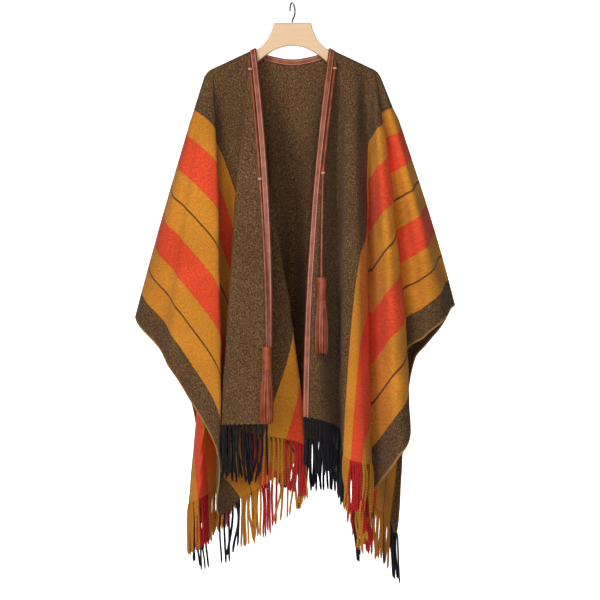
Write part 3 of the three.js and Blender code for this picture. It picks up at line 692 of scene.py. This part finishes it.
def tasselPiece(name, top, seed):
    random = np.random.default_rng(seed)
    vertices, faces, uvs = [], [], []

    def take(v, f, uv):
        base = len(vertices)
        vertices.extend(v)
        faces.extend(tuple(n + base for n in face) for face in f)
        uvs.extend(uv)

    r, length = tassel["headRadius"], tassel["headLength"]
    profile = [(2.2, 1.5), (2.6, 0.6), (r - 2.6, 0.2), (r - 0.9, -0.5), (r - 0.1, -1.8), (r, -4),
               (r + 0.1, -20), (r, -length + 4), (r - 0.1, -length + 1.6), (r - 0.9, -length + 0.2),
               (r - 2.4, -length)]
    v, uv = [], []
    sides, rings = tassel["headSides"], tassel["stripRings"]
    for radius, z in profile:
        for s in range(sides):
            a = 2 * math.pi * s / sides
            ridge = 0.5 if s in (20, 21) and radius > r - 1 else 0  # the wrap's overlapped end
            v.append((top + ((radius + ridge) * math.cos(a), (radius + ridge) * math.sin(a), z)) * mm)
            uv.append((s / sides, z * mm))
    take(v, [face[::-1] for face in ringFaces(len(profile), sides)], uv)
    for ringIndex, (count, share) in enumerate(((tassel["outerStrips"], 1.0), (tassel["innerStrips"], 0.55))):
        for k in range(count):
            angle = 2 * math.pi * (k + 0.5 * ringIndex + random.uniform(-0.12, 0.12)) / count
            swell = tassel["skirtRadius"] - tassel["stripThick"] / 2
            rootRadius = (r - 1.6) * (share if ringIndex else 1)
            drop = tassel["skirtLength"] * random.uniform(0.955, 1.0)
            twist = random.uniform(-0.12, 0.12)
            v, uv = [], []
            for m in range(rings):
                s = m / (rings - 1)
                bulge = math.sin(min(1, s * 1.5) * math.pi / 2) ** 1.3
                tuck = max(0, s - 0.86) / 0.14
                radius = rootRadius + (swell * share - rootRadius) * bulge - 2.4 * tuck ** 2
                a = angle + twist * s
                out = np.array((math.cos(a), math.sin(a), 0))
                side = np.array((-math.sin(a), math.cos(a), 0))
                centre = top + out * radius + (0, 0, -length + 3 - (drop + 3) * s)
                half = tassel["stripWidth"] / 2 * (0.72 + 0.28 * bulge) * (1 - 0.55 * tuck ** 2)
                thick = tassel["stripThick"] / 2
                for x, y in stripSection:
                    v.append((centre + side * (half * x) + out * (thick * y)) * mm)
                    uv.append((x * 0.5 + 0.5, s * 0.1))
            take(v, [face[::-1] for face in ringFaces(rings, len(stripSection))], uv)
    piece = addMesh(name, vertices, faces, uvs, 45)
    piece.data.materials.append(laceLook)
    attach(piece, "root")
    return piece


tassels = {}
for side in ("left", "right"):
    end = laceRoutes[side][lace["sections"]] / mm
    top = end + np.array((0, 0, -tassel["belowLace"]))
    tassels[side] = tasselPiece(f"tassel_{side}_look", top, tassel["seed"] + len(tassels))
    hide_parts(f"tassel_{side}")
    piece = lacePieces[side]
    piece.data.materials.append(laceLook)
    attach(piece, "root")
    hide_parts(f"lace_{side}")
    route = laceRoutes[side]

# Pale thread tacks that hold each lace to the trim.
tack = {"length": 7.0, "radius": 0.7, "bars": 2, "spacing": 0.12, "points": 7, "sides": 6, "topAt": 1.0}
vertices, faces, uvs = [], [], []
for side in ("left", "right"):
    route, spec = laceRoutes[side] / mm, laceSpecs[side]
    tackAt = (spec["tackShare"] - lace["topShare"]) / (spec["endShare"] - lace["topShare"]) * lace["sections"]
    for place in (tack["topAt"], tackAt):
        for bar in range(tack["bars"]):
            k = place + tack["spacing"] * (bar - 0.5)
            centre = np.array([np.interp(k, np.arange(len(route)), route[:, n]) for n in range(3)])
            line = [centre + (x, -lace["diameter"] / 2 * math.cos(x / tack["length"] * 2.6) - 0.2, 0)
                    for x in np.linspace(-tack["length"] / 2, tack["length"] / 2, tack["points"])]
            v, f, uv = tubeParts(np.array(line) * mm, tack["radius"] * mm, tack["sides"])
            base = len(vertices)
            vertices += v
            faces += [tuple(n + base for n in face) for face in f]
            uvs += uv
threadTacks = addMesh("thread_tacks", vertices, faces, uvs, 50)
shader = Shader("tackThread", Roughness=0.7)
uv, u, v, space = shader.coordinates()
twist = (v * 9000).sine() * 0.5 + 0.5
# Painted shade: the pale thread is a darker cream in the grooves of its twist.
threadTacks.data.materials.append(shader.finish(
    Base_Color=shader.mix(twist, linear(206, 180, 150), linear(246, 236, 220)),
    Normal=shader.bump(twist, 0.4, 0.0003)))
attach(threadTacks, "root")
print("tassels and tacks made")

# Hanger: a light varnished wood body with rounded edges, and a bright wire hook.
hanger = {"top": -40, "topHalf": 40, "thickness": 12, "archZ": -88, "armEnd": 176, "armDrop": 22,
          "underCloth": 1.5, "round": 4.0}
hook = {"wire": 4.0, "loopRadius": 16, "turn": 72, "sides": 16}


def arcPoints(a, b, c, steps):  # a quadratic curve from a to c, pulled towards b
    out = []
    for k in range(1, steps + 1):
        t = k / steps
        out.append(((1 - t) ** 2 * a[0] + 2 * t * (1 - t) * b[0] + t * t * c[0],
                    (1 - t) ** 2 * a[1] + 2 * t * (1 - t) * b[1] + t * t * c[1]))
    return out


def under(x):  # the top of the hanger's arm, below the cloth
    return crestZ(x) - cloth["solidWall"] / 2 - hanger["underCloth"]


def hangerPiece():
    neckX, drop, end = shoulder["neckX"], hanger["armDrop"], hanger["armEnd"]
    right = [(0, hanger["top"]), (hanger["topHalf"] - 1.5, hanger["top"])]
    right += [(hanger["topHalf"] - 0.2, hanger["top"] - 1.2)]
    right += arcPoints(right[-1], (hanger["topHalf"] + 8, hanger["top"] - 40),
                       (neckX - 4, under(neckX) + 2), 12)
    right += [(x, under(x)) for x in np.linspace(neckX + 6, end - 8, 6)]
    right += arcPoints(right[-1], (end, under(end)), (end, under(end) - drop * 0.5), 6)
    right += arcPoints(right[-1], (end, under(end) - drop + 4), (end - 14, under(end - 14) - drop), 6)
    right += [(neckX, under(neckX) - drop * 1.35)]
    right += arcPoints(right[-1], (neckX * 0.48, hanger["archZ"]), (0, hanger["archZ"]), 14)
    outline = right + [(-x, z) for x, z in right[1:-1][::-1]]
    half, count = hanger["thickness"] / 2, len(outline)
    vertices = [(x * mm, y * mm, z * mm) for y in (-half, half) for x, z in outline]
    faces = [tuple(range(count))[::-1], tuple(range(count, 2 * count))]
    faces += [(k, (k + 1) % count, (k + 1) % count + count, k + count) for k in range(count)]
    piece = addMesh("hanger_wood_look", vertices, faces)
    bevel = piece.modifiers.new("roundedEdges", "BEVEL")
    bevel.width, bevel.segments, bevel.limit_method = hanger["round"] * mm, 5, "ANGLE"
    bevel.angle_limit = math.radians(60)
    bevel.harden_normals = True
    return piece


hangerWood = hangerPiece()
shader = Shader("varnishedWood", Roughness=0.38, IOR=1.5, Coat_Weight=0.5, Coat_Roughness=0.14)
space = shader.node("ShaderNodeTexCoord")[3]
along = shader.stretched(space, (2.2, 26.0, 30.0))
figure = shader.noise(along, 3.2, 4.0, 0.55, 0.6)
fibres = shader.noise(shader.stretched(space, (30.0, 900.0, 900.0)), 1.0, 3.0, 0.6)
split = shader.node("ShaderNodeSeparateXYZ", {}, {0: space})
rings = ((split[2] * 520 + figure * 9).sine() * 0.5 + 0.5)
colour = shader.mix(rings * 0.3, linear(230, 190, 142), linear(222, 180, 132))
colour = shader.mix(shader.ramp(fibres, 0.5, 0.75) * 0.25, colour, linear(200, 152, 104))
hangerWood.data.materials.append(shader.finish(
    Base_Color=colour, Normal=shader.bump(fibres + rings * 0.3, 0.12, 0.0004),
    Roughness=shader.ramp(figure, 0.3, 0.7, 0.3, 0.46)))
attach(hangerWood, "root")
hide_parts("hanger_wood")

route = [(0, hanger["top"] - 1), (0, hanger["top"] + 2.5), (0, hanger["top"] + 6)]
centreZ = -(hook["loopRadius"] - hook["wire"] / 2)
for degrees in range(-62, 201, 8):
    angle = math.radians(degrees)
    route.append((hook["loopRadius"] * math.cos(angle), centreZ + hook["loopRadius"] * math.sin(angle)))
turn = math.radians(hook["turn"])
smooth = np.array([(a * math.cos(turn), a * math.sin(turn), z) for a, z in route])
vertices, faces, uvs = tubeParts(smooth * mm, hook["wire"] * mm / 2, hook["sides"])
steelHook = addMesh("hanger_hook_look", vertices, faces, uvs, 50)
shader = Shader("hookSteel", Metallic=1.0, Roughness=0.22)
uv, u, v, space = shader.coordinates()
drawn = shader.noise(shader.stretched(uv, (60.0, 12.0, 1.0)), 6.0, 3.0)
haze = shader.noise(space, 160.0, 3.0)
steelHook.data.materials.append(shader.finish(
    Base_Color=shader.mix(shader.ramp(haze, 0.35, 0.7), linear(120, 120, 124), linear(176, 176, 180)),
    Roughness=shader.ramp(drawn, 0.3, 0.7, 0.16, 0.34),
    Normal=shader.bump(drawn, 0.1, 0.0002)))
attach(steelHook, "root")
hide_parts("hanger_hook")
print("hanger made")

# Studio: a pale floor that sweeps up far behind, so that the wrap can be seen from the back too.
studio = {"floorZ": -2.75, "wallY": 7.6, "radius": 0.8, "half": 11.0, "front": -8.0, "top": 6.0,
          "arcSteps": 24, "world": 0.05}
# A soft key from the upper left, a broad fill from the front, and two lights on the wall.
# name, place, what it points at, width and height, watts
lights = [
    ("keyLight", (-2.0, -3.4, 1.1), (0, 0, -0.6), (1.3, 1.3), 76),
    ("fillLight", (-0.2, -5.0, 0.4), (0, 0, -0.6), (4.4, 3.6), 136),
    ("wallLightLeft", (-3.6, 4.9, -0.4), (-2.88, 7.6, -0.7), (1.6, 2.4), 330),
    ("wallLightRight", (3.6, 4.9, -0.4), (2.88, 7.6, -0.7), (1.6, 2.4), 330),
]
profile = [(studio["front"], studio["floorZ"])]
for k in range(studio["arcSteps"] + 1):
    a = math.radians(90 * k / studio["arcSteps"])
    profile.append((studio["wallY"] - studio["radius"] + studio["radius"] * math.sin(a),
                    studio["floorZ"] + studio["radius"] * (1 - math.cos(a))))
profile.append((studio["wallY"], studio["top"]))
vertices = [(x, y, z) for y, z in profile for x in (-studio["half"], studio["half"])]
faces = [(2 * k, 2 * k + 1, 2 * k + 3, 2 * k + 2) for k in range(len(profile) - 1)]
backdrop = addMesh("pale_floor", vertices, faces)
shader = Shader("palePaper", Roughness=0.85)
space = shader.node("ShaderNodeTexCoord")[3]
paper = shader.noise(space, 40.0, 3.0)
backdrop.data.materials.append(shader.finish(
    Base_Color=shader.mix(paper, (0.9, 0.9, 0.9), (0.93, 0.93, 0.93)),
    Normal=shader.bump(paper, 0.05, 0.001)))


def areaLight(name, place, target, size, power):
    data = bpy.data.lights.new(name, "AREA")
    data.shape, data.size, data.size_y = "RECTANGLE", size[0], size[1]
    data.energy = power
    light = bpy.data.objects.new(name, data)
    light.location = place
    light.rotation_euler = (Vector(target) - Vector(place)).to_track_quat("-Z", "Y").to_euler()
    scene.collection.objects.link(light)


for name, place, target, size, power in lights:
    areaLight(name, place, target, size, power)
world = bpy.data.worlds.new("studio")
world.use_nodes = True
world.node_tree.nodes["Background"].inputs[0].default_value = (1, 1, 1, 1)
world.node_tree.nodes["Background"].inputs[1].default_value = studio["world"]
scene.world = world
scene.view_settings.view_transform = "Standard"
print("studio made")
